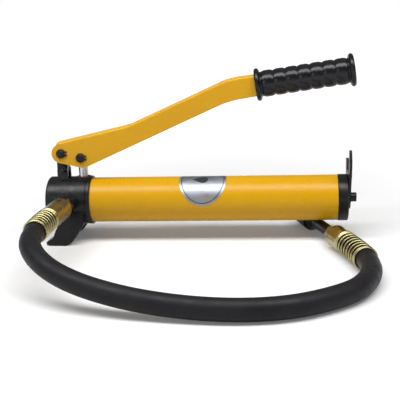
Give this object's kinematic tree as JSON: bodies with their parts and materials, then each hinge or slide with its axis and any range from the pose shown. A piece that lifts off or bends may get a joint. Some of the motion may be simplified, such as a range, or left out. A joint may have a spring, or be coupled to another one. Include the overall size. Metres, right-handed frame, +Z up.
{
  "type": "hydraulic hand pump",
  "caption": "Single-acting hydraulic hand pump: cast head with splayed feet, reservoir tube, lever with moulded grip, and an outlet hose with spring guards and a capped coupler.",
  "frame": {"origin": "on the floor, under the middle of the pump's box, without its hose", "axes": "+X along the reservoir from the pump head to the handle bracket, +Z up, -Y towards the outlet and hose"},
  "size_m": [0.3876, 0.3386, 0.2158],
  "materials": {
    "cast_black": "semi-gloss black paint over a sand-cast skin",
    "paint_yellow": "glossy yellow enamel",
    "paint_black": "satin black paint on pressed steel",
    "black_oxide": "black oxide, lightly oiled",
    "bright_steel": "ground and polished steel",
    "zinc_yellow": "yellow-passivated zinc plate",
    "zinc_silver": "clear zinc plate",
    "spring_steel": "oiled spring wire",
    "hose_rubber": "matt, faint wrap pattern",
    "grip_rubber": "moulded soft vinyl, semi-gloss",
    "seal_rubber": "smooth",
    "seal_white": "smooth",
    "wiper_red": "smooth",
    "knob_black": "moulded, satin",
    "brass_mesh": "woven mesh"
  },
  "bodies": {
    "pump": {"reservoir_tube": "paint_yellow", "head_oring": "seal_rubber", "cap_oring": "seal_rubber", "end_cap": "cast_black", "tie_rod": "zinc_silver", "screw_washer": "black_oxide", "bracket_screw": "black_oxide", "handle_bracket": "paint_black", "filler_seal": "seal_rubber", "suction_tube": "zinc_silver", "suction_strainer": "brass_mesh", "pump_head": "cast_black", "gland_nut": "black_oxide", "rod_wiper": "wiper_red", "backup_ring": "seal_white", "plunger_oring": "seal_rubber", "inlet_ball": "bright_steel", "inlet_spring": "spring_steel", "outlet_ball": "bright_steel", "outlet_spring": "spring_steel", "relief_ball": "bright_steel", "relief_spring": "spring_steel", "relief_screw": "black_oxide", "relief_locknut": "zinc_silver", "spindle_oring": "seal_rubber", "outlet_nipple": "zinc_yellow", "pump_end_ferrule": "zinc_yellow", "hose": "hose_rubber", "pump_end_guard": "zinc_yellow", "tool_end_guard": "zinc_yellow", "tool_end_ferrule": "zinc_yellow", "swivel_nut": "zinc_silver", "coupler_body": "black_oxide"},
    "plunger": {"plunger": "bright_steel"},
    "lever": {"lever": "paint_yellow", "handle_bar": "zinc_silver", "handle_grip": "grip_rubber", "front_pin": "black_oxide", "rear_pin": "black_oxide", "lever_circlips": "black_oxide"},
    "link": {"swing_link": "black_oxide", "link_pin": "black_oxide", "link_pin_clips": "black_oxide"},
    "release": {"release_spindle": "zinc_silver", "release_knob": "knob_black"},
    "filler": {"filler_plug": "black_oxide"},
    "sleeve": {"coupler_sleeve": "black_oxide"},
    "cap": {"dust_cap": "knob_black"}
  },
  "joints": [
    {"name": "plunger_slide", "type": "slide", "parent": "pump", "child": "plunger", "axis": [0, 0, 1], "range_m": [-0.0064, 0.0163]},
    {"name": "lever_swing", "type": "hinge", "parent": "plunger", "child": "lever", "pos_m": [-0.1388, 0, 0.1018], "axis": [0, -1, 0], "range_deg": [-15.5, 40]},
    {"name": "link_swing", "type": "hinge", "parent": "lever", "child": "link", "pos_m": [-0.1624, 0, 0.1072], "axis": [0, -1, 0], "range_deg": [-40.5, 16]},
    {"name": "release_turn", "type": "hinge", "parent": "pump", "child": "release", "pos_m": [-0.1535, 0.037, 0.0515], "axis": [0, 1, 0], "range_deg": [0, 270]},
    {"name": "filler_turn", "type": "hinge", "parent": "pump", "child": "filler", "pos_m": [0.178, 0.01494, 0.03547], "axis": [1, 0, 0], "range_deg": [0, 2880]},
    {"name": "sleeve_slide", "type": "slide", "parent": "pump", "child": "sleeve", "axis": [0.3193, -0.9476, 0], "range_m": [0, 0.006], "stiffness_N_per_m": 600, "springref_m": -0.004},
    {"name": "cap_pull", "type": "slide", "parent": "pump", "child": "cap", "axis": [-0.3193, 0.9476, 0], "range_m": [0, 0.013]}
  ],
  "couplings": [
    {"joint": "plunger_slide", "follows": "lever_swing", "m_per_rad": 0.0232},
    {"joint": "link_swing", "follows": "lever_swing", "ratio": -1}
  ]
}
